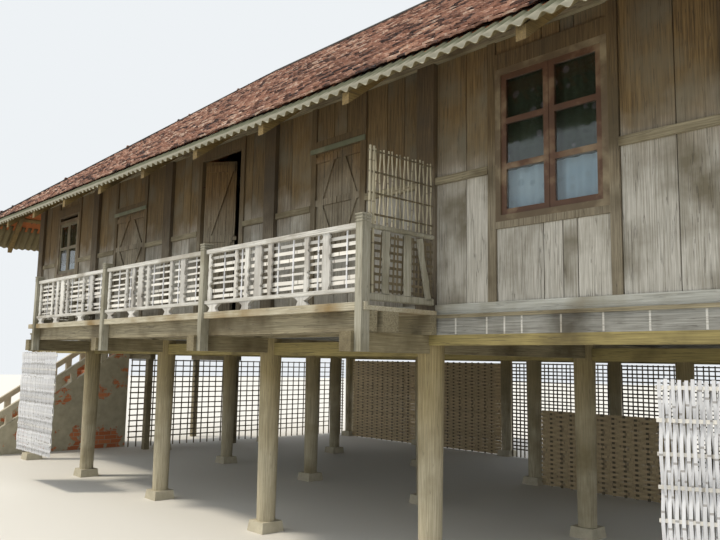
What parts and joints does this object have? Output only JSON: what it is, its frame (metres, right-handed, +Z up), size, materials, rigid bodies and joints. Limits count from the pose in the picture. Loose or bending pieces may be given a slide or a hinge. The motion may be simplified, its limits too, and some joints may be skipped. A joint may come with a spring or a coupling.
{
  "type": "stilt house",
  "caption": "Timber house on round posts with a plank-walled room, a railed porch, a hipped tile roof and a brick stair at one end.",
  "frame": {"origin": "middle of the roof's plan at ground level", "axes": "+X along the front wall towards the end away from the stair, +Y from the porch to the back wall, +Z up"},
  "size_m": [14.55, 8.75, 6.954],
  "materials": {
    "footing_concrete": "rough cement",
    "post_timber": "weathered",
    "frame_timber": "rough sawn",
    "floor_timber": "worn",
    "wall_timber": "weathered",
    "trim_timber": "weathered grey",
    "window_paint": "faded brown paint",
    "window_glass": "clear",
    "leaf_timber": "weathered",
    "hinge_iron": "rusted",
    "railing_timber": "sun-bleached",
    "bamboo": "dry split bamboo",
    "clay_tile": "fired clay",
    "eave_sheet": "mossy corrugated sheet",
    "cap_clay": "dark fired clay",
    "masonry": "worn render over brick"
  },
  "bodies": {
    "house": {"post_footings": "footing_concrete", "ground_posts": "post_timber", "cross_beams": "frame_timber", "tie_rails": "frame_timber", "floor_girders": "frame_timber", "floor_joists": "frame_timber", "ledge_boards": "frame_timber", "porch_beams": "frame_timber", "landing": "frame_timber", "wall_posts": "frame_timber", "tie_beams": "frame_timber", "wall_plates": "frame_timber", "purlin_frame": "frame_timber", "ridge_frame": "frame_timber", "rafters": "frame_timber", "hip_rafters": "frame_timber", "roof_battens": "frame_timber", "floor_boards": "floor_timber", "porch_deck": "floor_timber", "front_wall_boards": "wall_timber", "back_wall_boards": "wall_timber", "end_wall_boards": "wall_timber", "jambs_and_lintels": "trim_timber", "wall_battens": "trim_timber", "sill_boards": "trim_timber", "window_frames": "window_paint", "window_sashes": "window_paint", "window_glass": "window_glass", "shutters": "leaf_timber", "fixed_doors": "leaf_timber", "door_pintles": "hinge_iron", "porch_railing": "railing_timber", "porch_weave": "bamboo", "back_fence": "bamboo", "end_fences": "bamboo", "bamboo_panels": "bamboo", "wattle_walls": "bamboo", "roof_tiles": "clay_tile", "eave_sheets": "eave_sheet", "roof_caps": "cap_clay", "stair_steps": "masonry", "stair_sides": "masonry", "stair_rails": "masonry"},
    "door": {"door_leaf": "leaf_timber", "door_straps": "hinge_iron"}
  },
  "joints": [
    {"name": "door_hinge", "type": "hinge", "parent": "house", "child": "door", "pos_m": [-0.416, -3.386, 2.945], "axis": [0, 0, 1], "range_deg": [-35, 55]}
  ]
}
